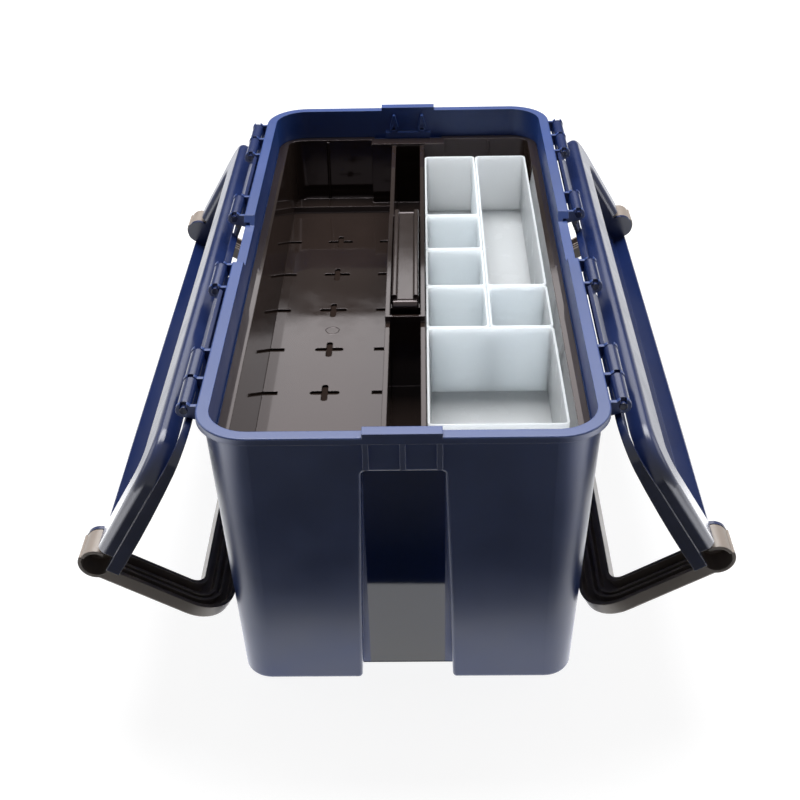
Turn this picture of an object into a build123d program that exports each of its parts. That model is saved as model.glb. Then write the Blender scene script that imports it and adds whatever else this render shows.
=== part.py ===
from build123d import *
import os
from math import cos, radians, sin, tan

# Plastic tool box with two hinged lids, two bail handles, a lift-out tray and loose bins.
# +Z up, +Y along the box, origin at the middle of the foot. All sizes in millimetres.
# The lids stand open and their handles hang, as in rest. Each lid has its own frame:
# u from the hinge axis to the free edge, v along the box, w out of the lid's outer face.

os.makedirs("parts", exist_ok=True)

# Driving dimensions of the case
rim_length = 470.0
rim_width = 222.0
rim_height = 184.0
rim_corner = 30.0
rim_round = 1.0
ledge = 7.25
lip_height = 4.0
lip_overhang = 4.0
wall = 2.6
draft = 3.0
floor_thickness = 3.0
foot_depth = 1.2
foot_width = 5.0
foot_round = 3.0
tab_half_width = 21.0
tab_rise = 2.5
tab_thickness = 6.5
gusset_thickness = 3.0
gusset_drop = 19.0
recess_drop = 25.4
recess_cap = 1.7
recess_half_top = 22.0
recess_half_bottom = 27.0
recess_depth = 13.6
recess_round = 2.4
saddle_half = 29.5
saddle_drop = 5.5
saddle_slope = 6.5
stud_x = 11.2
stud_radius = 3.4
stud_height = 14.0
stud_drop = 3.0
lock_gap = 0.6
pad_half = 18.0
pad_height = 6.5
pad_face = 224.2
rib_height = 20.0
rib_reach = 3.5
rib_width = 3.0
rib_places_x = [-65.0, 65.0]
rib_places_y = [-150.0, 0.0, 150.0]

# Driving dimensions of the hinges and lids
hinge_x = 118.0
hinge_drop = 3.0
journal_radius = 2.2
journal_play = 0.08
barrel_radius = 4.0
bracket_radius = 4.4
bracket_thickness = 2.5
bracket_places = [[36.7, 67.1], [143.2, 173.5, 201.4]]
side_play = 0.3
journal_end = 0.6
open_angle = 239.5
lid_half = 226.3
lid_corner = 22.0
lid_wall = 2.4
lid_hinge_edge = 3.5
lid_gap = 0.6
lid_seat = 0.3
skirt_depth = 4.7
lid_crown = [4.0, 6.2, 7.5, 8.2, 7.4]
notch_half = 34.0
notch_depth = 7.0
notch_slope = 4.0
lip_back = 3.5
lip_low = 1.7
lip_top = 4.0
finger_half = 105.0
finger_width = 20.0
finger_depth = 4.5
finger_draft = 15.0
strip_end = 104.0
bead_side = 1.9
bead_round = 5.0

# Driving dimensions of the handles
hub_reach = 105.5
hub_drop = 3.2
hub_radius = 10.0
hub_step = 1.1
hub_wall = 1.9
hub_room = 1.8
hub_inner = 203.3
hub_outer = 223.0
hub_end_wall = 5.0
axle_radius = 4.1
axle_play = 0.06
snap_gap = 0.2
snap_length = 1.2
snap_rise = 0.8
disc_radius = 9.2
disc_thickness = 2.6
bar_width = 20.0
arm_depth = 9.5
bail_round = 2.0
rib_spread = 2.7
rib_thickness = 1.5
rib_lift = 1.5
bail_reach = 84.0
bail_corner = 25.0
bail_inner_corner = 8.0
bail_wall = 2.3
channel_play = 0.9

# Driving dimensions of the tray and its grip
flange_drop = 21.7
flange_thickness = 1.8
flange_play = 0.8
tray_depth = 49.2
tray_bottom = 2.4
tray_wall = 2.0
tray_floor_half_width = 92.4
tray_floor_end = 18.5
tray_top_half_width = 96.0
tray_top_end = 14.4
tray_corner = 12.0
spine_half = 12.6
trough_half = 9.6
step_half = 29.2
step_depth = 9.4
slot_pitch = 54.0
slot_length = 19.0
slot_width = 4.0
slot_depth = 1.4
housing_half = 73.0
housing_rise = 2.3
spine_drop = 1.6
stop_height = 5.0
stop_thickness = 1.5
end_rib_x = 65.0
end_rib_radius = 1.1
grip_half = 62.8
grip_width = 17.0
grip_rise = 11.6
grip_web_half = 5.0
grip_web_drop = 3.0
grip_bar_radius = 3.5
grip_leg = 55.0
leg_thickness = 5.0
leg_drop = 3.0
rail_height = 10.0
rail_round = 1.2
seat_gap = 0.2

# Driving dimensions of the loose bins
bin_height = 47.0
bin_wall = 1.3
bin_gap = 0.3
bin_side_play = 0.4
bin_draft = 1.2
bin_corner = 2.5

# Sizes that follow from the driving dimensions
half_w = rim_width / 2
half_l = rim_length / 2
body_top = rim_height - lip_height
recess_top = rim_height - recess_drop
slope = tan(radians(draft))
body_half_w = half_w - lip_overhang
body_half_l = half_l - lip_overhang
body_corner = rim_corner - lip_overhang
spread = body_top * slope
foot_half_w = body_half_w - spread
foot_half_l = body_half_l - spread
foot_corner = body_corner - spread
mouth_half_w = half_w - ledge
mouth_half_l = half_l - ledge
mouth_corner = rim_corner - ledge
flange_top = rim_height - flange_drop
flange_bottom = flange_top - flange_thickness
hinge_z = rim_height - hinge_drop
lid_free_edge = hinge_x - lid_gap
lid_low = hinge_drop + lid_seat
crown_u = [lid_hinge_edge, 26.0, 50.0, 74.0, lid_free_edge]
skirt_low = hinge_drop - skirt_depth
disc_face = hub_inner - side_play
hub_w = -hub_drop
hub_cut = hub_reach - hub_radius - hub_room
channel_floor = hub_w - channel_play
channel_outer = hub_outer + channel_play
channel_inner = hub_inner - channel_play
run_low = hub_reach - bail_reach - channel_play
run_high = hub_reach - bail_reach + bar_width + channel_play
tray_floor = flange_top - tray_depth
tray_base = tray_floor - tray_bottom
tray_floor_half_length = half_l - tray_floor_end
tray_top_half_length = half_l - tray_top_end
housing_top = flange_top + housing_rise
spine_top = flange_top - spine_drop
grip_top = flange_top + grip_rise
leg_foot = tray_floor + seat_gap
bin_row_start = spine_half + bin_side_play
bin_column = (tray_floor_half_width - bin_row_start) / 2


# The space inside the case, narrower where the end recesses push in
with BuildPart() as cavity:
    base = floor_thickness
    with BuildSketch(Plane.XY.offset(base)):
        RectangleRounded(2 * (foot_half_w + base * slope - wall), 2 * (foot_half_l + base * slope - wall),
                         foot_corner + base * slope - wall)
    extrude(amount=flange_bottom - base, taper=-draft)
    with BuildSketch(Plane.XY.offset(flange_bottom)):
        RectangleRounded(2 * mouth_half_w, 2 * mouth_half_l, mouth_corner)
    extrude(amount=rim_height + tab_rise - flange_bottom)
    for end in (-1, 1):
        back = foot_half_l - recess_depth - wall
        with BuildSketch(Plane.XY):
            with Locations((0, end * (back + 20))):
                Rectangle(2 * (recess_half_bottom + wall), 40)
        with BuildSketch(Plane.XY.offset(recess_top + recess_cap)):
            with Locations((0, end * (back + (recess_top + recess_cap) * slope + 20))):
                Rectangle(2 * (recess_half_top + wall), 40)
        loft(ruled=True, mode=Mode.SUBTRACT)


# Hook brackets that hold the lids' journals
with BuildPart() as brackets:
    for side in (-1, 1):
        for place in [p * end for group in bracket_places for p in group for end in (-1, 1)]:
            with BuildSketch(Plane.XZ.offset(-place)):
                with Locations((side * hinge_x, hinge_z)):
                    Circle(bracket_radius)
                Polygon((side * (body_half_w - 2), rim_height - 16),
                        (side * (half_w + 0.2), rim_height - 9.2),
                        (side * hinge_x, hinge_z - bracket_radius + 0.3),
                        (side * hinge_x, rim_height - 0.6),
                        (side * (body_half_w - 2), rim_height - 0.6), align=None)
                with Locations((side * hinge_x, hinge_z)):
                    Circle(journal_radius + journal_play, mode=Mode.SUBTRACT)
                with Locations((side * hinge_x, hinge_z + bracket_radius)):
                    Rectangle(1.6 * journal_radius, 2 * bracket_radius, mode=Mode.SUBTRACT)
            extrude(amount=bracket_thickness / 2, both=True)


with BuildPart() as case:
    # Drafted body with a rounded foot edge
    with BuildSketch(Plane.XY):
        RectangleRounded(2 * foot_half_w, 2 * foot_half_l, foot_corner)
    extrude(amount=body_top, taper=-draft)
    fillet(case.faces().sort_by(Axis.Z)[0].edges(), foot_round)
    # Open recess in each end face, with rounded edges
    for end in (-1, 1):
        back = foot_half_l - recess_depth
        with BuildSketch(Plane.XY):
            with Locations((0, end * (back + 20))):
                Rectangle(2 * recess_half_bottom, 40)
        with BuildSketch(Plane.XY.offset(recess_top)):
            with Locations((0, end * (back + recess_top * slope + 20))):
                Rectangle(2 * recess_half_top, 40)
        loft(ruled=True, mode=Mode.SUBTRACT)
    recess_edges = [e for e in case.edges() if abs(e.center().Y) > foot_half_l + 1
                    and abs(e.center().X) < recess_half_bottom and foot_round < e.center().Z < recess_top + 1]
    fillet(recess_edges, recess_round)
    # Rim with its flat ledge
    with BuildSketch(Plane.XY.offset(body_top)):
        RectangleRounded(rim_width, rim_length, rim_corner)
    extrude(amount=lip_height)
    fillet(case.faces().sort_by(Axis.Z)[-1].edges(), rim_round)
    # Raised tab at each end, with three gussets below it
    for end in (-1, 1):
        with BuildSketch(Plane.XY.offset(rim_height + tab_rise - tab_thickness)):
            with Locations((0, end * (half_l + mouth_half_l) / 2)):
                Rectangle(2 * tab_half_width, half_l - mouth_half_l)
        extrude(amount=tab_thickness)
        for x in (-tab_half_width + gusset_thickness / 2, 0, tab_half_width - gusset_thickness / 2):
            under = rim_height + tab_rise - tab_thickness
            with BuildSketch(Plane.YZ.offset(x)):
                Polygon((end * (half_l - 1), under), (end * (body_half_l - 2), under),
                        (end * (body_half_l - 2), under - gusset_drop),
                        (end * (body_half_l + 0.6), under - gusset_drop), align=None)
            extrude(amount=gusset_thickness / 2, both=True)
    add(brackets.part)
    add(cavity.part, mode=Mode.SUBTRACT)
    # Underside hollow that leaves a narrow foot all round
    with BuildSketch(Plane.XY):
        RectangleRounded(2 * (foot_half_w - foot_width),
                         2 * (foot_half_l - recess_depth - wall - foot_width), foot_corner)
    extrude(amount=foot_depth, mode=Mode.SUBTRACT)
    # Lowered saddle in the rim between the two middle hinges
    for side in (-1, 1):
        with BuildSketch(Plane.YZ.offset(side * (mouth_half_w - 1))):
            Polygon((-saddle_half, rim_height - saddle_drop), (saddle_half, rim_height - saddle_drop),
                    (saddle_half + saddle_slope, rim_height + 1),
                    (-saddle_half - saddle_slope, rim_height + 1), align=None)
        extrude(amount=side * (ledge + 2), mode=Mode.SUBTRACT)
        with BuildSketch(Plane.XY.offset(rim_height - saddle_drop)):
            with Locations((side * (mouth_half_w + ledge / 2 - 0.5), 0)):
                Rectangle(ledge - 1, 2 * (saddle_half + saddle_slope))
        extrude(amount=-lip_height)
    # Teardrop studs inside each end wall
    for end in (-1, 1):
        for x in (-stud_x, stud_x):
            low = rim_height - stud_drop - stud_height
            root = end * (mouth_half_l + 1.0)
            with BuildSketch(Plane.XZ.offset(-root)) as stud:
                with Locations((x, low + stud_radius)):
                    Circle(stud_radius)
                Polygon((x - stud_radius * 0.9, low + stud_radius * 1.4),
                        (x + stud_radius * 0.9, low + stud_radius * 1.4),
                        (x + 0.8, low + stud_height), (x - 0.8, low + stud_height), align=None)
                Polygon((x - stud_radius * 0.5, low + stud_radius * 0.6),
                        (x + stud_radius * 0.5, low + stud_radius * 0.6),
                        (x, low + stud_radius * 2), align=None, mode=Mode.SUBTRACT)
            extrude(amount=end * (mouth_half_l + 1.0 - hub_outer - lock_gap))
        with BuildSketch(Plane.XY.offset(flange_bottom)):
            with Locations((0, end * (pad_face + mouth_half_l + 1) / 2)):
                Rectangle(2 * pad_half, mouth_half_l + 1 - pad_face)
        extrude(amount=pad_height)
    # Short ribs that carry the tray flange
    rib_low = flange_bottom - seat_gap - rib_height
    with BuildSketch(Plane.XY.offset(rib_low)):
        for side in (-1, 1):
            for half, mouth, across in ((foot_half_w, mouth_half_w, False), (foot_half_l, mouth_half_l, True)):
                near = mouth - flange_play - rib_reach
                far = half + rib_low * slope - wall / 3
                for place in rib_places_x if across else rib_places_y:
                    middle = side * (near + far) / 2
                    with Locations((place, middle) if across else (middle, place)):
                        Rectangle(*((rib_width, far - near) if across else (far - near, rib_width)))
    extrude(amount=rib_height)

case.part.label = "case"
export_step(case.part, "parts/case.step")


def lid_frame(side):
    """Frame of one lid as it stands open: origin on the hinge axis, x along u, z along w."""
    turn = radians(open_angle)
    along = Vector(-side * cos(turn), 0, sin(turn))
    out = Vector(side * sin(turn), 0, cos(turn))
    return Plane(origin=(side * hinge_x, 0, hinge_z), x_dir=along, z_dir=out)


def section(frame, v):
    """Plane across the lid at v, with x along u and y along w; its normal runs against v."""
    return Plane(origin=frame.origin + frame.y_dir * v, x_dir=frame.x_dir, z_dir=-frame.y_dir)


def crown_points(drop):
    """Points of the domed outer face, lowered by drop."""
    return [(u, hinge_drop + rise - drop) for u, rise in zip(crown_u, lid_crown)]


def rounded_plan(inset):
    """Plan of the lid, narrowed all round: round at the hinge side, square at the free edge."""
    low = lid_hinge_edge + inset
    high = lid_free_edge - inset
    reach = lid_half - inset
    with BuildSketch(Plane.XY) as plan:
        with BuildLine():
            FilletPolyline((high, -reach), (low, -reach), (low, reach), (high, reach),
                           radius=lid_corner - inset)
            Line((high, reach), (high, -reach))
        make_face()
    return plan.sketch


def channel_band(grow_out, grow_in):
    """U-shaped plan of the handle channel, widened on both sides."""
    out = channel_outer + grow_out
    low = run_low - grow_out
    inner = channel_inner - grow_in
    high = run_high + grow_in
    with BuildSketch(Plane.XY) as band:
        with BuildLine():
            FilletPolyline((hub_cut, -out), (low, -out), (low, out), (hub_cut, out),
                           radius=bail_corner + channel_play + grow_out)
            Line((hub_cut, out), (hub_cut, -out))
        make_face()
        with BuildLine():
            FilletPolyline((hub_cut + 1, -inner), (high, -inner), (high, inner), (hub_cut + 1, inner),
                           radius=bail_inner_corner)
            Line((hub_cut + 1, inner), (hub_cut + 1, -inner))
        make_face(mode=Mode.SUBTRACT)
    return band.sketch


def make_lid_hollow(frame):
    """Space under the lid's domed skin."""
    with BuildPart() as hollow:
        pts = crown_points(lid_wall)
        with BuildSketch(section(frame, lid_half)):
            with BuildLine():
                Spline(*pts)
                Polyline(pts[-1], (lid_free_edge, -20), (lid_hinge_edge, -20), pts[0])
            make_face()
        extrude(amount=2 * lid_half)
        with BuildSketch(frame.offset(-25)):
            add(rounded_plan(lid_wall))
        extrude(amount=60, mode=Mode.INTERSECT)
    return hollow.part


def make_bead(frame):
    """Rounded bead under the handle channel, seen on the inside of the lid."""
    with BuildPart() as bead:
        with BuildSketch(frame.offset(channel_floor - lid_wall)):
            add(channel_band(bead_side, lid_wall))
        extrude(amount=lid_low + 2 - channel_floor + lid_wall)
        lowest = bead.faces().sort_by(lambda f: frame.to_local_coords(f.center()).Z)[0]
        rim_edges = [e for e in lowest.edges() if frame.to_local_coords(e.center()).X < hub_cut - 0.1]
        fillet(rim_edges, bead_round)
    return bead.part


def make_lid(side):
    """One lid, with its knuckles and journals, handle channel, end discs and stub axles."""
    frame = lid_frame(side)
    hollow = make_lid_hollow(frame)
    bead = make_bead(frame)
    pts = crown_points(0)
    with BuildPart() as lid:
        with BuildSketch(section(frame, lid_half)):
            with BuildLine():
                Spline(*pts)
                Polyline(pts[-1], (lid_free_edge, skirt_low), (lid_free_edge - lid_wall, skirt_low),
                         (lid_free_edge - lid_wall, lid_low), (lid_hinge_edge, lid_low), pts[0])
            make_face()
        extrude(amount=2 * lid_half)
        with BuildSketch(frame.offset(-25)):
            add(rounded_plan(0))
        extrude(amount=60, mode=Mode.INTERSECT)
        add(hollow, mode=Mode.SUBTRACT)
        add(bead)
        # Raised panel under the finger recess
        floor = hinge_drop + lid_crown[2] - finger_depth
        with BuildSketch(frame.offset(floor - lid_wall)):
            with Locations((run_high + finger_width / 2, 0)):
                Rectangle(finger_width + 2 * lid_wall, 2 * (finger_half + lid_wall))
        extrude(amount=finger_depth)
        # Walls that close the lid beside the hubs, with a round disc on the hub's axis
        for end in (-1, 1):
            top = hinge_drop + lid_crown[3] - 1.2
            with BuildSketch(section(frame, end * (disc_face - lid_wall / 2))):
                Polygon((hub_cut - lid_wall, skirt_low), (lid_free_edge, skirt_low),
                        (lid_free_edge, top), (hub_cut - lid_wall, top), align=None)
            extrude(amount=lid_wall / 2, both=True)
            with BuildSketch(section(frame, end * (disc_face - disc_thickness / 2))):
                with Locations((hub_reach, hub_w)):
                    Circle(disc_radius)
            extrude(amount=disc_thickness / 2, both=True)
        # Channel for the folded handle, and the recess for the fingers
        with BuildSketch(frame.offset(channel_floor)):
            add(channel_band(0, 0))
        extrude(amount=40, mode=Mode.SUBTRACT)
        with BuildSketch(frame.offset(floor)):
            with Locations((run_high + finger_width / 2 - 1, 0)):
                Rectangle(finger_width + 2, 2 * finger_half)
        extrude(amount=30, taper=-finger_draft, mode=Mode.SUBTRACT)
        # Room for the hubs at the free corners
        for end in (-1, 1):
            with BuildSketch(frame.offset(-30)):
                with Locations(((hub_cut + lid_free_edge + 2) / 2, end * (disc_face + channel_outer) / 2)):
                    Rectangle(lid_free_edge + 2 - hub_cut, channel_outer - disc_face)
                with Locations(((strip_end + lid_free_edge + 2) / 2, end * (channel_outer + 3))):
                    Rectangle(lid_free_edge + 2 - strip_end, 6)
            extrude(amount=80, mode=Mode.SUBTRACT)
        # Stub axles with a snap bead behind the hub's end wall
        for end in (-1, 1):
            reach = hub_inner + hub_end_wall - disc_face
            with BuildSketch(section(frame, end * (disc_face + reach / 2))):
                with Locations((hub_reach, hub_w)):
                    Circle(axle_radius)
            extrude(amount=reach / 2, both=True)
            with BuildSketch(section(frame, end * (disc_face + reach + snap_gap + snap_length / 2))):
                with Locations((hub_reach, hub_w)):
                    Circle(axle_radius + snap_rise)
            extrude(amount=snap_length / 2, both=True)
            with BuildSketch(section(frame, end * (disc_face + reach + snap_gap / 2))):
                with Locations((hub_reach, hub_w)):
                    Circle(axle_radius)
            extrude(amount=snap_gap / 2, both=True)
        # Notch in the hinge edge over the saddle, with a wall behind it
        with BuildSketch(frame.offset(lid_low)):
            with Locations((lid_hinge_edge + notch_depth + lid_wall / 2, 0)):
                Rectangle(lid_wall, 2 * (notch_half + lid_wall))
        extrude(amount=lid_crown[0])
        with BuildSketch(frame.offset(-10)):
            Polygon((lid_hinge_edge - 1, -notch_half - notch_slope),
                    (lid_hinge_edge + notch_depth, -notch_half),
                    (lid_hinge_edge + notch_depth, notch_half),
                    (lid_hinge_edge - 1, notch_half + notch_slope), align=None)
        extrude(amount=40, mode=Mode.SUBTRACT)
        # Lip over the gap to the rim, between the two groups of brackets
        for end in (-1, 1):
            near = bracket_places[0][-1] + bracket_thickness
            far = bracket_places[1][0] - bracket_thickness
            with BuildSketch(frame.offset(lip_low)):
                with Locations(((lid_hinge_edge + lid_wall - lip_back) / 2, end * (near + far) / 2)):
                    Rectangle(lid_hinge_edge + lid_wall + lip_back, far - near)
            extrude(amount=lip_top - lip_low)
        # Knuckles between the brackets, on one journal for each group
        for end in (-1, 1):
            for group in bracket_places:
                first = group[0] - bracket_thickness / 2 - journal_end
                last = group[-1] + bracket_thickness / 2 + journal_end
                with BuildSketch(section(frame, end * (first + last) / 2)):
                    Circle(journal_radius)
                extrude(amount=(last - first) / 2, both=True)
                for near, far in zip(group, group[1:]):
                    half = (far - near - bracket_thickness) / 2 - side_play
                    with BuildSketch(section(frame, end * (near + far) / 2)):
                        Circle(barrel_radius)
                        Polygon((-1.6, 3.4), (0.8, hinge_drop + lid_crown[0] - 1),
                                (lid_hinge_edge + 1.5, hinge_drop + lid_crown[0]),
                                (lid_hinge_edge + 2, lid_low), (barrel_radius - 0.4, 0), align=None)
                    extrude(amount=half, both=True)
    return lid


def bail_plane(frame):
    """Plane of one handle: origin on the hubs' axis, x along v, y along w; its normal is along u."""
    origin = frame.origin + frame.x_dir * hub_reach + frame.z_dir * hub_w
    return Plane(origin=origin, x_dir=frame.y_dir, z_dir=frame.x_dir)


def bail_band(inset, start=0.0):
    """U-shaped outline of the handle, narrowed on both sides."""
    out = hub_outer - inset
    top = bail_reach - inset
    inner = hub_inner + inset
    low = bail_reach - bar_width + inset
    with BuildSketch(Plane.XY) as band:
        with BuildLine():
            FilletPolyline((-out, start), (-out, top), (out, top), (out, start),
                           radius=bail_corner - inset)
            Line((out, start), (-out, start))
        make_face()
        with BuildLine():
            FilletPolyline((-inner, start - 1), (-inner, low), (inner, low), (inner, start - 1),
                           radius=bail_inner_corner + inset / 2)
            Line((inner, start - 1), (-inner, start - 1))
        make_face(mode=Mode.SUBTRACT)
    return band.sketch


def make_handle(side):
    """One bail handle: a U channel with two ribs, on two stepped open hubs."""
    frame = lid_frame(side)
    plane = bail_plane(frame)
    clear = hub_radius + 1.5
    with BuildPart() as bail:
        with BuildSketch(plane):
            add(bail_band(0))
        extrude(amount=arm_depth)
        fillet(bail.faces().sort_by(lambda f: plane.to_local_coords(f.center()).Z)[-1].edges(), bail_round)
        with BuildSketch(plane):
            add(bail_band(bail_wall, clear))
        extrude(amount=arm_depth - bail_wall, mode=Mode.SUBTRACT)
        middle = (hub_outer - hub_inner) / 2
        with BuildSketch(plane.offset(rib_lift)):
            add(bail_band(middle - rib_spread, clear - 1))
        extrude(amount=arm_depth - bail_wall)
        with BuildSketch(plane):
            add(bail_band(middle - rib_spread + rib_thickness, clear - 1))
        extrude(amount=arm_depth - bail_wall, mode=Mode.SUBTRACT)
        for end in (-1, 1):
            across = Plane(origin=plane.origin + plane.x_dir * (end * hub_inner),
                           x_dir=frame.x_dir, z_dir=plane.x_dir * end)
            with BuildSketch(across):
                Circle(hub_radius)
            extrude(amount=hub_outer - hub_inner)
            with BuildSketch(across.offset(hub_end_wall)):
                Circle(hub_radius - hub_step - hub_wall)
                with BuildLine():
                    ThreePointArc((0, hub_radius - hub_wall), (hub_radius - hub_wall, 0),
                                  (0, hub_wall - hub_radius))
                    Line((0, hub_wall - hub_radius), (0, hub_radius - hub_wall))
                make_face()
            extrude(amount=hub_outer - hub_inner, mode=Mode.SUBTRACT)
            # Thinner half of the tube on the side of the lid
            with BuildSketch(across):
                Circle(hub_radius + 1)
                Circle(hub_radius - hub_step, mode=Mode.SUBTRACT)
                with Locations((hub_radius, 0)):
                    Rectangle(2 * hub_radius, 3 * hub_radius, mode=Mode.SUBTRACT)
            extrude(amount=hub_outer - hub_inner, mode=Mode.SUBTRACT)
            # Gap in the outer half of the tube, towards the hinge and out of the lid
            with BuildSketch(across.offset((hub_outer - hub_inner) / 2)):
                Polygon((0, 0), (-2 * hub_radius, -end * 0.4 * hub_radius),
                        (-2 * hub_radius, -end * 2 * hub_radius),
                        (-0.6 * hub_radius, -end * 2 * hub_radius), align=None)
            extrude(amount=hub_outer, mode=Mode.SUBTRACT)
            with BuildSketch(across):
                Circle(axle_radius + axle_play)
            extrude(amount=hub_end_wall, mode=Mode.SUBTRACT)
    return bail


for side, hand in ((-1, "left"), (1, "right")):
    lid = make_lid(side)
    lid.part.label = f"lid_{hand}"
    export_step(lid.part, f"parts/lid_{hand}.step")
    bail = make_handle(side)
    bail.part.label = f"handle_{hand}"
    export_step(bail.part, f"parts/handle_{hand}.step")


def pocket_plan(side, half_length, far):
    """Plan of one compartment, stepped in beside the middle of each end wall."""
    stepped = half_length - step_depth
    corners = [(spine_half, stepped), (step_half, stepped), (step_half, half_length), (far, half_length)]
    around = corners + [(x, -y) for x, y in reversed(corners)]
    with BuildSketch(Plane.XY) as plan:
        Polygon(*[(side * x, y) for x, y in around], align=None)
        fillet([v for v in plan.vertices() if abs(v.X) > far - 1], tray_corner - tray_wall)
    return plan.sketch


with BuildPart() as tray:
    # Drafted body under a wide flat flange
    with BuildSketch(Plane.XY.offset(tray_base)):
        RectangleRounded(2 * (tray_floor_half_width + tray_wall), 2 * (tray_floor_half_length + tray_wall),
                         tray_corner)
    with BuildSketch(Plane.XY.offset(flange_bottom)):
        RectangleRounded(2 * (tray_top_half_width + tray_wall), 2 * (tray_top_half_length + tray_wall),
                         tray_corner)
    loft(ruled=True)
    with BuildSketch(Plane.XY.offset(flange_bottom)):
        RectangleRounded(2 * (mouth_half_w - flange_play), 2 * (mouth_half_l - flange_play),
                         mouth_corner - flange_play)
    extrude(amount=flange_thickness)
    # Two compartments beside the trough
    for side in (-1, 1):
        with BuildSketch(Plane.XY.offset(tray_floor)):
            add(pocket_plan(side, tray_floor_half_length, tray_floor_half_width))
        with BuildSketch(Plane.XY.offset(flange_top)):
            add(pocket_plan(side, tray_top_half_length, tray_top_half_width))
        loft(ruled=True, mode=Mode.SUBTRACT)
    # Trough along the middle
    with BuildSketch(Plane.XY.offset(tray_floor)):
        Rectangle(2 * trough_half, 2 * (tray_floor_half_length - step_depth))
    with BuildSketch(Plane.XY.offset(flange_top)):
        Rectangle(2 * trough_half, 2 * (tray_top_half_length - step_depth))
    loft(ruled=True, mode=Mode.SUBTRACT)
    # Spine walls are a little lower than the flange
    with BuildSketch(Plane.XY.offset(spine_top)):
        Rectangle(2 * spine_half + 1, 2 * (tray_top_half_length - step_depth))
    extrude(amount=tray_depth, mode=Mode.SUBTRACT)
    # Stepped end walls, cut back below and beside the studs
    for end in (-1, 1):
        for height, half_length in ((tray_base, tray_floor_half_length), (flange_bottom, tray_top_half_length)):
            with BuildSketch(Plane.XY.offset(height)):
                with Locations((0, end * (half_length - step_depth + tray_wall + 10))):
                    Rectangle(2 * (step_half - tray_wall), 20)
        loft(ruled=True, mode=Mode.SUBTRACT)
        with BuildSketch(Plane.XY.offset(flange_bottom - 1)):
            with Locations((0, end * (hub_outer - 0.5 + 10))):
                Rectangle(2 * (step_half - tray_wall), 20)
        extrude(amount=flange_thickness + 2, mode=Mode.SUBTRACT)
    # Housing of the grip in the middle of the trough
    for end in (-1, 1):
        with BuildSketch(Plane.XY.offset(tray_floor)):
            with Locations((0, end * housing_half)):
                Rectangle(2 * trough_half + 1, tray_wall)
            with Locations((end * (trough_half + spine_half) / 2, 0)):
                Rectangle(spine_half - trough_half, 2 * housing_half + tray_wall)
        extrude(amount=housing_top - tray_floor)
    # Low stops for the bins, and a slim rib on each end wall
    for side in (-1, 1):
        for end in (-1, 1):
            with BuildSketch(Plane.XY.offset(tray_floor)):
                with Locations((side * (spine_half + tray_floor_half_width) / 2,
                                end * (3.5 * slot_pitch + stop_thickness / 2))):
                    Rectangle(tray_floor_half_width - spine_half + 1, stop_thickness)
            extrude(amount=stop_height)
            with BuildSketch(Plane.XY.offset(tray_floor)):
                with Locations((side * end_rib_x, end * tray_floor_half_length)):
                    Circle(end_rib_radius)
            with BuildSketch(Plane.XY.offset(flange_bottom)):
                with Locations((side * end_rib_x, end * tray_top_half_length)):
                    Circle(end_rib_radius)
            loft(ruled=True)
    # Cross slots in the compartment floors, with half slots along the walls
    for side in (-1, 1):
        middle = side * (spine_half + tray_floor_half_width) / 2
        for row in range(-3, 3):
            y = (row + 0.5) * slot_pitch
            with BuildSketch(Plane.XY.offset(tray_floor)):
                with Locations((middle, y)):
                    SlotOverall(slot_length, slot_width)
                    SlotOverall(slot_length, slot_width, rotation=90)
                for x, toward in ((spine_half, 1), (tray_floor_half_width, -1)):
                    with Locations((side * (x + toward * slot_length / 4), y)):
                        Rectangle(slot_length / 2, slot_width)
            extrude(amount=-slot_depth, mode=Mode.SUBTRACT)

tray.part.label = "tray"
export_step(tray.part, "parts/tray.step")


with BuildPart() as tray_handle:
    half = grip_width / 2
    web_top = grip_top - grip_web_drop
    # Two side rails joined by a lower web
    with BuildSketch(Plane.XZ):
        for side in (-1, 1):
            with Locations((side * (half + grip_web_half) / 2, grip_top - rail_height / 2)):
                RectangleRounded(half - grip_web_half, rail_height, rail_round)
        with Locations((0, web_top - tray_wall / 2)):
            Rectangle(2 * grip_web_half + 1, tray_wall)
    extrude(amount=grip_half, both=True)
    for end in (-1, 1):
        # Round cross bar
        with BuildSketch(Plane.YZ.offset(-half + 1)):
            with Locations((end * (grip_half + grip_bar_radius / 2), grip_top - rail_height + grip_bar_radius)):
                Circle(grip_bar_radius)
        extrude(amount=2 * half - 2)
        # Leg that slides in the housing
        with BuildSketch(Plane.XZ.offset(-end * grip_leg)):
            with Locations((0, (web_top + leg_foot) / 2)):
                Rectangle(2 * (grip_web_half - 1), web_top - leg_foot)
            with Locations((0, (housing_top - leg_drop + leg_foot) / 2)):
                Rectangle(2 * (trough_half - side_play), housing_top - leg_drop - leg_foot)
        extrude(amount=leg_thickness / 2, both=True)

tray_handle.part.label = "tray_handle"
export_step(tray_handle.part, "parts/tray_handle.step")


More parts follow.
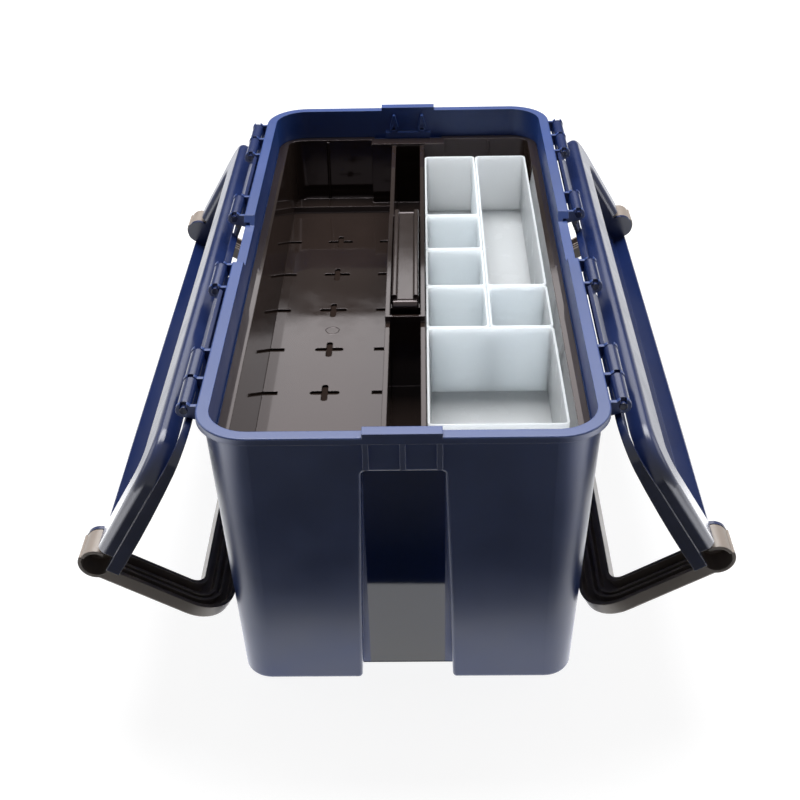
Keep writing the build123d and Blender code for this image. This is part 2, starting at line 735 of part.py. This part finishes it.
# Loose bins in the right compartment: name, first and last column, first and last 54 mm row
bins = [("bin_wide", 0, 1, -3, -2), ("bin_inner_1", 0, 0, -1, -1), ("bin_outer_small", 1, 1, -1, -1),
        ("bin_inner_2", 0, 0, 0, 0), ("bin_inner_3", 0, 0, 1, 1), ("bin_inner_long", 0, 0, 2, 3),
        ("bin_outer_long", 1, 1, 0, 3)]
bin_lean = bin_height * tan(radians(bin_draft))
for name, col_a, col_b, row_a, row_b in bins:
    x_low = bin_row_start + col_a * bin_column
    x_high = bin_row_start + (col_b + 1) * bin_column
    width = x_high - x_low - 2 * bin_gap
    length = (row_b - row_a + 1) * slot_pitch - 2 * bin_gap
    centre = ((x_low + x_high) / 2, (row_a + row_b) / 2 * slot_pitch)
    with BuildPart() as bin_part:
        with BuildSketch(Plane.XY.offset(tray_floor + seat_gap)):
            with Locations(centre):
                RectangleRounded(width - 2 * bin_lean, length - 2 * bin_lean, bin_corner)
        extrude(amount=bin_height, taper=-bin_draft)
        with BuildSketch(Plane.XY.offset(tray_floor + seat_gap + bin_wall)):
            with Locations(centre):
                RectangleRounded(width - 2 * bin_lean - 2 * bin_wall, length - 2 * bin_lean - 2 * bin_wall,
                                 bin_corner / 2)
        extrude(amount=bin_height, taper=-bin_draft, mode=Mode.SUBTRACT)
    bin_part.part.label = name
    export_step(bin_part.part, f"parts/{name}.step")
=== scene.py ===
import math

import bpy
from bpy.props import FloatProperty, FloatVectorProperty, PointerProperty
from mathutils import Euler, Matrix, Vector


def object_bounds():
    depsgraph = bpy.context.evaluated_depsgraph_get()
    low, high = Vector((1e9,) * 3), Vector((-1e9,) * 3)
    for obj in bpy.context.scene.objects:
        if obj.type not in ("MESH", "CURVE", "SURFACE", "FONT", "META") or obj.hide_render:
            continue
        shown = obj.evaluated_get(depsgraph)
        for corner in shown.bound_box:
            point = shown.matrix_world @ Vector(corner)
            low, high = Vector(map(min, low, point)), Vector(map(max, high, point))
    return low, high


bl_info = {
    "name": "Two-Lid Tool Box",
    "version": (1, 0, 0),
    "blender": (4, 5, 0),
    "location": "View3D > Sidebar > Tool Box",
    "description": "Finishes and studio for a plastic tool box with two lids, a tray and loose bins",
    "category": "Object",
}

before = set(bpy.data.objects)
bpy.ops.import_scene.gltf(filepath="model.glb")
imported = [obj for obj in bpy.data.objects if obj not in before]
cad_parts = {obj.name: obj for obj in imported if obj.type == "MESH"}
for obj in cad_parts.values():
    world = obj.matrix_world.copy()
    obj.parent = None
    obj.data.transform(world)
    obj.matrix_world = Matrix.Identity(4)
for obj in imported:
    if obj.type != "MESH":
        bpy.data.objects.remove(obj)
cad_low, cad_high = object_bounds()

# Places on the pieces in metres
RECESS_HALF = 0.0225
RECESS_TOP = 0.1582
TRAY_FLOOR = 0.1131
# Studio sizes in metres
FLOOR_HALF = 6.0
FLOOR_HEIGHT = -0.0003
FLAG_HALF = 0.24
FLAG_LIFT = 0.002
CARD_HALF = 0.3
CARD_REACH = 1.0
CARD_LENGTH = 0.9
CARD_TUCK = 0.3
CARD_LIFT = 0.001
BACK_FLAG_Y = 1.5
BACK_FLAG_HALF = 1.1
BACK_FLAG_HEIGHT = 0.95
FLAG_COLOUR = (0.2, 0.2, 0.2)
LAMP_AIM = (-0.05, 0.027, 0.113)
SENSOR_WIDTH = 36.0
# Plastics
PLASTIC_IOR = 1.49
POLISHED_ROUGHNESS = 0.06
BIN_PASS = 0.65
BEVEL_SAMPLES = 4
NODE_SPACING = 220
# Round marks in the tray's floor: place, radius and half width of the line
FLOOR_MARKS = ((-0.0516, -0.0017, 0.0046, 0.0005), (-0.0535, 0.184, 0.0008, 0.0008))
# Tint of the tray's gloss
TRAY_GLOSS = (1.0, 0.86, 0.9)
LIDS = ("lid_left", "lid_right")
HANDLES = ("handle_left", "handle_right")
BINS = (
    "bin_wide",
    "bin_inner_1",
    "bin_inner_2",
    "bin_inner_3",
    "bin_inner_long",
    "bin_outer_small",
    "bin_outer_long",
)


class BoxFinish(bpy.types.PropertyGroup):
    """Colours and surface of the tool box's plastics"""

    shell_colour: FloatVectorProperty(
        name="Shell colour",
        description="Colour of the lower box and the lids",
        subtype="COLOR",
        size=3,
        min=0.0,
        max=1.0,
        default=(0.014, 0.043, 0.18),
    )
    shell_roughness: FloatProperty(
        name="Shell roughness",
        description="How dull the lower box and the lids are",
        subtype="FACTOR",
        min=0.0,
        max=1.0,
        default=0.3,
    )
    # Painted shade: the lids take a darker copy of the shell's navy, so that the open lids read darker than the
    # lamps leave them; the lids use this colour, not the shell colour
    lid_painted_shade_colour: FloatVectorProperty(
        name="Lid colour",
        description="Colour of the two lids",
        subtype="COLOR",
        size=3,
        min=0.0,
        max=1.0,
        default=(0.009, 0.02, 0.085),
    )
    handle_colour: FloatVectorProperty(
        name="Handle colour",
        description="Colour of the two bail handles",
        subtype="COLOR",
        size=3,
        min=0.0,
        max=1.0,
        default=(0.27, 0.225, 0.193),
    )
    handle_roughness: FloatProperty(
        name="Handle roughness",
        description="How dull the handles are",
        subtype="FACTOR",
        min=0.0,
        max=1.0,
        default=0.38,
    )
    tray_colour: FloatVectorProperty(
        name="Tray colour",
        description="Colour of the lift-out tray and its grip",
        subtype="COLOR",
        size=3,
        min=0.0,
        max=1.0,
        default=(0.022, 0.015, 0.0125),
    )
    tray_roughness: FloatProperty(
        name="Tray roughness",
        description="How dull the tray is",
        subtype="FACTOR",
        min=0.0,
        max=1.0,
        default=0.055,
    )
    bin_colour: FloatVectorProperty(
        name="Bin colour",
        description="Colour of the loose bins",
        subtype="COLOR",
        size=3,
        min=0.0,
        max=1.0,
        default=(0.965, 0.986, 0.998),
    )
    bin_solidity: FloatProperty(
        name="Bin solidity",
        description="Share of light that a bin wall stops",
        subtype="FACTOR",
        min=0.0,
        max=1.0,
        default=0.97,
    )
    edge_round: FloatProperty(
        name="Edge rounding",
        description="Radius that moulded edges appear to have",
        subtype="DISTANCE",
        unit="LENGTH",
        min=0.0,
        max=0.003,
        default=0.0006,
    )
    grain_size: FloatProperty(
        name="Grain size",
        description="Size of the fine moulded grain",
        subtype="DISTANCE",
        unit="LENGTH",
        min=0.0001,
        max=0.01,
        default=0.0007,
    )


class BoxStudio(bpy.types.PropertyGroup):
    """Floor, lamps and camera of the studio"""

    floor_colour: FloatVectorProperty(
        name="Floor colour",
        description="Colour of the studio floor",
        subtype="COLOR",
        size=3,
        min=0.0,
        max=1.0,
        default=(0.24, 0.24, 0.24),
    )
    floor_bounce: FloatProperty(
        name="Floor bounce",
        description="Share of the light that the floor throws back onto the box",
        subtype="FACTOR",
        min=0.0,
        max=1.0,
        default=0.1,
    )
    flag_distance: FloatProperty(
        name="Flag distance",
        description="Gap between the front of the box and the dark flag that its walls reflect",
        subtype="DISTANCE",
        unit="LENGTH",
        min=0.0,
        max=2.0,
        default=0.036,
    )
    sky_strength: FloatProperty(
        name="Sky strength",
        description="Even light from all round",
        min=0.0,
        max=5.0,
        default=0.05,
    )
    floor_glow: FloatProperty(
        name="Floor glow",
        description="Light that the shown floor adds, so that it reads as white",
        min=0.0,
        max=5.0,
        default=0.9,
    )
    top_brightness: FloatProperty(
        name="Top softbox",
        description="Brightness of the softbox over the box, where 1 is white",
        min=0.0,
        max=50.0,
        default=11.0,
    )
    back_brightness: FloatProperty(
        name="Back softbox",
        description="Brightness of the softbox behind the box, where 1 is white",
        min=0.0,
        max=50.0,
        default=1.9,
    )
    side_brightness: FloatProperty(
        name="Side softboxes",
        description="Brightness of each softbox beside the box, where 1 is white",
        min=0.0,
        max=50.0,
        default=2.0,
    )
    card_brightness: FloatProperty(
        name="Front card",
        description="Brightness of the card at the foot of the box that its walls reflect, where 1 is white",
        min=0.0,
        max=50.0,
        default=2.4,
    )
    side_card_brightness: FloatProperty(
        name="Side cards",
        description="Brightness of the cards beside the front card, where 1 is white",
        min=0.0,
        max=50.0,
        default=5.5,
    )
    camera_place: FloatVectorProperty(
        name="Camera place",
        description="Where the camera stands",
        subtype="TRANSLATION",
        unit="LENGTH",
        size=3,
        default=(0.0126, -0.7958, 0.5736),
    )
    camera_pitch: FloatProperty(
        name="Camera pitch",
        description="How far the camera looks down",
        subtype="ANGLE",
        unit="ROTATION",
        default=math.radians(33.13),
    )
    camera_yaw: FloatProperty(
        name="Camera yaw",
        description="How far the camera looks to the left",
        subtype="ANGLE",
        unit="ROTATION",
        default=math.radians(1.35),
    )
    camera_roll: FloatProperty(
        name="Camera roll",
        description="How far the camera leans",
        subtype="ANGLE",
        unit="ROTATION",
        default=math.radians(-1.31),
    )
    camera_lens: FloatProperty(
        name="Camera lens",
        description="Focal length in millimetres on a 36 mm sensor",
        min=10.0,
        max=300.0,
        default=59.75,
    )


class NodeDesk:
    """Adds nodes to one material or world and places them from left to right"""

    def __init__(self, block):
        self.block = block
        block.use_nodes = True
        self.tree = block.node_tree
        self.tree.nodes.clear()
        self.column = 0

    def add(self, kind, **settings):
        node = self.tree.nodes.new(kind)
        node.location = (NODE_SPACING * self.column, 0)
        self.column += 1
        for key, value in settings.items():
            setattr(node, key, value)
        return node

    def link(self, start, end):
        self.tree.links.new(start, end)

    def finish(self, shader, kind="ShaderNodeOutputMaterial"):
        """Shows a shader and hands back the material or world"""
        out = self.add(kind)
        self.link(shader, out.inputs["Surface"])
        return self.block


def material_desk(name):
    """Desk of a new material"""
    return NodeDesk(bpy.data.materials.new(name))


def noise(desk, coords, scale, detail=2.0, roughness=0.5):
    """Noise of that many cells to a metre"""
    node = desk.add("ShaderNodeTexNoise")
    node.inputs["Scale"].default_value = scale
    node.inputs["Detail"].default_value = detail
    node.inputs["Roughness"].default_value = roughness
    desk.link(coords, node.inputs["Vector"])
    return node.outputs["Fac"]


def spread(desk, value, low, high, from_low=0.3, from_high=0.7):
    """Value carried from one range to another"""
    node = desk.add("ShaderNodeMapRange")
    node.inputs["From Min"].default_value = from_low
    node.inputs["From Max"].default_value = from_high
    node.inputs["To Min"].default_value = low
    node.inputs["To Max"].default_value = high
    desk.link(value, node.inputs["Value"])
    return node.outputs["Result"]


def bump(desk, height, depth, normal, strength=1.0):
    """Relief of that depth in metres over a normal"""
    node = desk.add("ShaderNodeBump")
    node.inputs["Strength"].default_value = strength
    node.inputs["Distance"].default_value = depth
    desk.link(height, node.inputs["Height"])
    desk.link(normal, node.inputs["Normal"])
    return node.outputs["Normal"]


def tint(desk, factor, colour_a, colour_b):
    """Two colours mixed by a factor"""
    node = desk.add("ShaderNodeMix", data_type="RGBA")
    desk.link(factor, node.inputs["Factor"])
    for socket, colour in (("A", colour_a), ("B", colour_b)):
        target = next(s for s in node.inputs if s.name == socket and s.type == "RGBA")
        if isinstance(colour, bpy.types.NodeSocket):
            desk.link(colour, target)
        else:
            target.default_value = (*colour, 1.0)
    return next(s for s in node.outputs if s.type == "RGBA")


def arithmetic(desk, operation, first, second=None):
    """One sum of a value with a number or another value"""
    node = desk.add("ShaderNodeMath", operation=operation)
    for value, socket in zip((first, second), node.inputs):
        if isinstance(value, bpy.types.NodeSocket):
            desk.link(value, socket)
        elif value is not None:
            socket.default_value = value
    return node.outputs["Value"]


def recess_share(desk, coords, half, top):
    """1 on the polished back of the end recesses, 0 elsewhere"""
    place = desk.add("ShaderNodeSeparateXYZ")
    desk.link(coords, place.inputs["Vector"])
    beside = arithmetic(desk, "ABSOLUTE", place.outputs["X"])
    return arithmetic(desk, "MULTIPLY", arithmetic(desk, "LESS_THAN", beside, half),
                      arithmetic(desk, "LESS_THAN", place.outputs["Z"], top))


def ring_height(desk, coords, x, y, radius, line):
    """1 along a round moulding mark seen from above, 0 elsewhere"""
    flat = desk.add("ShaderNodeVectorMath", operation="MULTIPLY")
    flat.inputs[1].default_value = (1.0, 1.0, 0.0)
    desk.link(coords, flat.inputs[0])
    away = desk.add("ShaderNodeVectorMath", operation="DISTANCE")
    away.inputs[1].default_value = (x, y, 0.0)
    desk.link(flat.outputs["Vector"], away.inputs[0])
    off = arithmetic(desk, "ABSOLUTE", arithmetic(desk, "SUBTRACT", away.outputs["Value"], radius))
    return spread(desk, off, 1.0, 0.0, 0.0, line)


def moulded_plastic(name, colour, roughness, grain, edge, relief_share=0.35, polished=None, painted_shade_below=None,
                    marks=(), gloss_tint=(1.0, 1.0, 1.0)):
    """Injection-moulded plastic: soft edges, fine grain, faint flow marks and a painted highlight that lightens
    the edges

    polished is the half width and top of a smooth area, painted_shade_below the height under which the gloss is
    turned off, a painted shade in the tray's slots, and marks are round moulding marks as place, radius and
    half width of the line.
    """
    desk = material_desk(name)
    coords = desk.add("ShaderNodeTexCoord").outputs["Object"]
    rounded = desk.add("ShaderNodeBevel", samples=BEVEL_SAMPLES)
    rounded.inputs["Radius"].default_value = edge
    flat = desk.add("ShaderNodeNewGeometry").outputs["Normal"]
    # Painted highlight: where the rounded normal turns away from the flat one, the base colour is lightened as
    # if the edge caught the light
    turn = desk.add("ShaderNodeVectorMath", operation="DOT_PRODUCT")
    desk.link(rounded.outputs["Normal"], turn.inputs[0])
    desk.link(flat, turn.inputs[1])
    edges = spread(desk, turn.outputs["Value"], 1.0, 0.0, 0.75, 1.0)
    flow = noise(desk, coords, 14.0, 3.0, 0.55)
    flow_tint = tint(desk, spread(desk, flow, 0.0, 1.0), [c * 0.9 for c in colour], [c * 1.12 for c in colour])
    painted_highlight_tint = [min(1.0, c * 2.2 + 0.01) for c in colour]
    base = tint(desk, arithmetic(desk, "MULTIPLY", edges, 0.35), flow_tint, painted_highlight_tint)
    cloud = noise(desk, coords, 32.0, 4.0, 0.6)
    rough = spread(desk, cloud, roughness - 0.035, roughness + 0.045)
    grain_height = noise(desk, coords, 1.0 / grain, 2.0, 0.5)
    if polished:
        share = recess_share(desk, coords, *polished)
        plain = arithmetic(desk, "SUBTRACT", 1.0, share)
        rough = arithmetic(desk, "MULTIPLY_ADD", rough, plain)
        rough.node.inputs[2].default_value = POLISHED_ROUGHNESS
        grain_height = arithmetic(desk, "MULTIPLY", grain_height, plain)
    slow_height = noise(desk, coords, 9.0, 1.0, 0.4)
    relief = bump(desk, slow_height, 0.0018, rounded.outputs["Normal"], relief_share)
    relief = bump(desk, grain_height, 0.00003, relief, relief_share)
    for mark in marks:
        ring = ring_height(desk, coords, *mark)
        relief = bump(desk, ring, 0.0002, relief, 0.5)
        rough = arithmetic(desk, "ADD", rough, arithmetic(desk, "MULTIPLY", ring, 0.06))
    skin = desk.add("ShaderNodeBsdfPrincipled")
    # Painted shade: under this height, in the tray's slots, the gloss is turned off so that they read dark as
    # if shaded
    if painted_shade_below:
        place = desk.add("ShaderNodeSeparateXYZ")
        desk.link(coords, place.inputs["Vector"])
        above = arithmetic(desk, "GREATER_THAN", place.outputs["Z"], painted_shade_below)
        desk.link(arithmetic(desk, "MULTIPLY", above, 0.5), skin.inputs["Specular IOR Level"])
    skin.inputs["IOR"].default_value = PLASTIC_IOR
    skin.inputs["Specular Tint"].default_value = (*gloss_tint, 1.0)
    desk.link(base, skin.inputs["Base Color"])
    desk.link(rough, skin.inputs["Roughness"])
    desk.link(relief, skin.inputs["Normal"])
    return desk.finish(skin.outputs["BSDF"])


def milky_plastic(name, colour, solidity, edge):
    """Thin milky plastic that glows where light stands behind it"""
    desk = material_desk(name)
    coords = desk.add("ShaderNodeTexCoord").outputs["Object"]
    rounded = desk.add("ShaderNodeBevel", samples=BEVEL_SAMPLES)
    rounded.inputs["Radius"].default_value = edge
    flow = noise(desk, coords, 26.0, 3.0, 0.55)
    base = tint(desk, spread(desk, flow, 0.0, 1.0), [c * 0.985 for c in colour], colour)
    rough = spread(desk, noise(desk, coords, 60.0, 3.0, 0.6), 0.2, 0.3)
    relief = bump(desk, noise(desk, coords, 700.0, 2.0, 0.5), 0.00003, rounded.outputs["Normal"], 0.2)
    skin = desk.add("ShaderNodeBsdfPrincipled")
    skin.inputs["IOR"].default_value = PLASTIC_IOR
    skin.inputs["Alpha"].default_value = solidity
    desk.link(base, skin.inputs["Base Color"])
    desk.link(rough, skin.inputs["Roughness"])
    desk.link(relief, skin.inputs["Normal"])
    through = desk.add("ShaderNodeBsdfTranslucent")
    desk.link(base, through.inputs["Color"])
    desk.link(relief, through.inputs["Normal"])
    wall = desk.add("ShaderNodeMixShader")
    wall.inputs["Fac"].default_value = BIN_PASS
    desk.link(skin.outputs["BSDF"], wall.inputs[1])
    desk.link(through.outputs["BSDF"], wall.inputs[2])
    return desk.finish(wall.outputs["Shader"])


def dress(node, material):
    """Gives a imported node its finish"""
    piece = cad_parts[node]
    piece.data.materials.clear()
    piece.data.materials.append(material)


class TOOLBOX_OT_case(bpy.types.Operator):
    """Dress the lower box"""

    bl_idname = "toolbox.case"
    bl_label = "Lower Box"

    def execute(self, context):
        finish = context.scene.toolbox_finish
        dress("case", moulded_plastic(
            "shell_navy", finish.shell_colour, finish.shell_roughness, finish.grain_size, finish.edge_round,
            polished=(RECESS_HALF, RECESS_TOP)))
        return {"FINISHED"}


class TOOLBOX_OT_lids(bpy.types.Operator):
    """Dress the two lids"""

    bl_idname = "toolbox.lids"
    bl_label = "Lids"

    def execute(self, context):
        finish = context.scene.toolbox_finish
        # The lids' base colour is the darker painted-shade copy of the navy
        material = moulded_plastic(
            "lid_navy", finish.lid_painted_shade_colour, finish.shell_roughness - 0.08, finish.grain_size, finish.edge_round)
        for lid in LIDS:
            dress(lid, material)
        return {"FINISHED"}


class TOOLBOX_OT_handles(bpy.types.Operator):
    """Dress the two bail handles"""

    bl_idname = "toolbox.handles"
    bl_label = "Handles"

    def execute(self, context):
        finish = context.scene.toolbox_finish
        material = moulded_plastic(
            "handle_brown", finish.handle_colour, finish.handle_roughness, finish.grain_size, finish.edge_round)
        for handle in HANDLES:
            dress(handle, material)
        return {"FINISHED"}


class TOOLBOX_OT_tray(bpy.types.Operator):
    """Dress the lift-out tray and its grip"""

    bl_idname = "toolbox.tray"
    bl_label = "Tray and Grip"

    def execute(self, context):
        finish = context.scene.toolbox_finish
        # The tray's slots below its floor get a painted shade: their gloss is turned off
        dress("tray", moulded_plastic(
            "tray_black", finish.tray_colour, finish.tray_roughness, finish.grain_size, finish.edge_round * 1.5,
            relief_share=0.05, painted_shade_below=TRAY_FLOOR - 0.0005, marks=FLOOR_MARKS, gloss_tint=TRAY_GLOSS))
        dress("tray_handle", moulded_plastic(
            "grip_black", finish.tray_colour, finish.tray_roughness + 0.04, finish.grain_size,
            finish.edge_round * 1.5, relief_share=0.12, gloss_tint=TRAY_GLOSS))
        return {"FINISHED"}


class TOOLBOX_OT_bins(bpy.types.Operator):
    """Dress the loose bins"""

    bl_idname = "toolbox.bins"
    bl_label = "Loose Bins"

    def execute(self, context):
        finish = context.scene.toolbox_finish
        material = milky_plastic("bin_milky", finish.bin_colour, finish.bin_solidity, finish.edge_round)
        for name in BINS:
            dress(name, material)
        return {"FINISHED"}


def softbox(name, target, distance, rise, turn, width, height, brightness):
    """Rectangular lamp that faces a point, from a height angle and a turn from the back to the right"""
    lamp = bpy.data.lights.new(name, "AREA")
    lamp.shape = "RECTANGLE"
    lamp.size = width
    lamp.size_y = height
    lamp.energy = brightness * width * height * math.pi
    holder = bpy.data.objects.new(name, lamp)
    bpy.context.scene.collection.objects.link(holder)
    rise, turn = math.radians(rise), math.radians(turn)
    away = Vector((math.cos(rise) * math.sin(turn), math.cos(rise) * math.cos(turn), math.sin(rise)))
    holder.location = Vector(target) + away * distance
    holder.rotation_euler = (-away).to_track_quat("-Z", "Y").to_euler()
    holder.visible_camera = False
    return holder


def flat_sheet(name, low, high, height):
    """Level sheet between two corners"""
    mesh = bpy.data.meshes.new(name)
    corners = [(low[0], low[1]), (high[0], low[1]), (high[0], high[1]), (low[0], high[1])]
    mesh.from_pydata([(x, y, height) for x, y in corners], [], [(0, 1, 2, 3)])
    sheet = bpy.data.objects.new(name, mesh)
    bpy.context.scene.collection.objects.link(sheet)
    return sheet


def reflected_sheet(name, low, high, height, material):
    """Level sheet that only reflections show"""
    sheet = flat_sheet(name, low, high, height)
    sheet.data.materials.append(material)
    sheet.visible_camera = False
    sheet.visible_diffuse = False
    sheet.visible_transmission = False
    sheet.visible_shadow = False
    return sheet


def flag_cloth():
    """Dark cloth"""
    desk = material_desk("flag_black")
    cloth = desk.add("ShaderNodeBsdfDiffuse")
    cloth.inputs["Color"].default_value = (*FLAG_COLOUR, 1.0)
    return desk.finish(cloth.outputs["BSDF"])


def glowing_card(name, brightness):
    """Card of an even brightness, where 1 is white"""
    desk = material_desk(name)
    glow = desk.add("ShaderNodeEmission")
    glow.inputs["Strength"].default_value = brightness
    return desk.finish(glow.outputs["Emission"])


def background_rays(desk):
    """1 for rays that show the background: from the camera, a gloss or a clear wall"""
    path = desk.add("ShaderNodeLightPath")
    seen = arithmetic(desk, "MAXIMUM", path.outputs["Is Camera Ray"], path.outputs["Is Glossy Ray"])
    return arithmetic(desk, "MAXIMUM", seen, path.outputs["Is Transmission Ray"])


class TOOLBOX_OT_stage(bpy.types.Operator):
    """Build the floor, lamps and camera"""

    bl_idname = "toolbox.stage"
    bl_label = "Studio"

    def execute(self, context):
        studio = context.scene.toolbox_studio
        scene = context.scene
        # Floor: a wide pale sheet that keeps the box's shadow
        floor = flat_sheet("studio_floor", (-FLOOR_HALF, -FLOOR_HALF), (FLOOR_HALF, FLOOR_HALF), FLOOR_HEIGHT)
        desk = material_desk("floor_pale")
        shown = desk.add("ShaderNodeBsdfDiffuse")
        shown.inputs["Color"].default_value = (*studio.floor_colour, 1.0)
        glow = desk.add("ShaderNodeEmission")
        glow.inputs["Strength"].default_value = studio.floor_glow
        both = desk.add("ShaderNodeAddShader")
        desk.link(shown.outputs["BSDF"], both.inputs[0])
        desk.link(glow.outputs["Emission"], both.inputs[1])
        bounce = desk.add("ShaderNodeBsdfDiffuse")
        bounce.inputs["Color"].default_value = (*[studio.floor_bounce] * 3, 1.0)
        choice = desk.add("ShaderNodeMixShader")
        desk.link(background_rays(desk), choice.inputs["Fac"])
        desk.link(bounce.outputs["BSDF"], choice.inputs[1])
        desk.link(both.outputs["Shader"], choice.inputs[2])
        floor.data.materials.append(desk.finish(choice.outputs["Shader"]))
        # Dark flags and bright cards that only reflections show
        front = cad_low.y - studio.flag_distance
        cloth = flag_cloth()
        reflected_sheet("front_flag", (-FLAG_HALF, front - CARD_LENGTH), (FLAG_HALF, front), FLAG_LIFT, cloth)
        back_flag = reflected_sheet(
            "back_flag", (-BACK_FLAG_HALF, -BACK_FLAG_HEIGHT), (BACK_FLAG_HALF, 0.0), 0.0, cloth)
        back_flag.rotation_euler = (-math.pi / 2, 0.0, 0.0)
        back_flag.location = (0.0, BACK_FLAG_Y, 0.0)
        for name, low, high, brightness in (
                ("front_card", -CARD_HALF, CARD_HALF, studio.card_brightness),
                ("left_card", -CARD_REACH, -CARD_HALF, studio.side_card_brightness),
                ("right_card", CARD_HALF, CARD_REACH, studio.side_card_brightness)):
            reflected_sheet(name, (low, front - CARD_LENGTH), (high, front + CARD_TUCK), CARD_LIFT,
                            glowing_card(name, brightness))
        # Surroundings: an even pale sky, white where it shows
        world = bpy.data.worlds.new("studio_sky")
        scene.world = world
        sky = NodeDesk(world)
        dim = sky.add("ShaderNodeBackground")
        dim.inputs["Strength"].default_value = studio.sky_strength
        white = sky.add("ShaderNodeBackground")
        white.inputs["Strength"].default_value = 1.0
        pick = sky.add("ShaderNodeMixShader")
        sky.link(background_rays(sky), pick.inputs["Fac"])
        sky.link(dim.outputs["Background"], pick.inputs[1])
        sky.link(white.outputs["Background"], pick.inputs[2])
        sky.finish(pick.outputs["Shader"], "ShaderNodeOutputWorld")
        # Lamps
        for name, distance, rise, turn, width, height, brightness in (
                ("back_softbox", 1.9, 40.0, 0.0, 1.7, 0.72, studio.back_brightness),
                ("top_softbox", 1.5, 66.0, 0.0, 1.4, 0.8, studio.top_brightness),
                ("left_softbox", 1.6, 30.0, -80.0, 1.0, 0.8, studio.side_brightness),
                ("right_softbox", 1.6, 30.0, 80.0, 1.0, 0.8, studio.side_brightness)):
            softbox(name, LAMP_AIM, distance, rise, turn, width, height, brightness)
        # Camera
        lens = bpy.data.cameras.new("photo_camera")
        lens.sensor_width = SENSOR_WIDTH
        lens.lens = studio.camera_lens
        lens.clip_start = 0.02
        lens.clip_end = 40.0
        camera = bpy.data.objects.new("photo_camera", lens)
        scene.collection.objects.link(camera)
        camera.location = studio.camera_place
        look = Euler((math.pi / 2 - studio.camera_pitch, 0.0, studio.camera_yaw), "XYZ").to_quaternion()
        lean = Euler((0.0, 0.0, studio.camera_roll), "XYZ").to_quaternion()
        camera.rotation_mode = "QUATERNION"
        camera.rotation_quaternion = look @ lean
        scene.camera = camera
        scene.view_settings.view_transform = "Standard"
        return {"FINISHED"}


class TOOLBOX_PT_panel(bpy.types.Panel):
    """Tool box pieces, finishes and studio"""

    bl_idname = "TOOLBOX_PT_panel"
    bl_label = "Tool Box"
    bl_space_type = "VIEW_3D"
    bl_region_type = "UI"
    bl_category = "Tool Box"

    def draw(self, context):
        layout = self.layout
        for step in STEPS:
            layout.operator(step.bl_idname)
        for group in (context.scene.toolbox_finish, context.scene.toolbox_studio):
            column = layout.column()
            for name in group.bl_rna.properties.keys():
                if name not in {"rna_type", "name"}:
                    column.prop(group, name)


STEPS = (
    TOOLBOX_OT_case,
    TOOLBOX_OT_lids,
    TOOLBOX_OT_handles,
    TOOLBOX_OT_tray,
    TOOLBOX_OT_bins,
    TOOLBOX_OT_stage,
)
CLASSES = (BoxFinish, BoxStudio, *STEPS, TOOLBOX_PT_panel)


def register():
    for item in CLASSES:
        bpy.utils.register_class(item)
    bpy.types.Scene.toolbox_finish = PointerProperty(type=BoxFinish)
    bpy.types.Scene.toolbox_studio = PointerProperty(type=BoxStudio)


def unregister():
    del bpy.types.Scene.toolbox_studio
    del bpy.types.Scene.toolbox_finish
    for item in reversed(CLASSES):
        bpy.utils.unregister_class(item)


def main():
    register()
    bpy.ops.toolbox.case()
    bpy.ops.toolbox.lids()
    bpy.ops.toolbox.handles()
    bpy.ops.toolbox.tray()
    bpy.ops.toolbox.bins()
    bpy.ops.toolbox.stage()


if __name__ == "__main__":
    main()
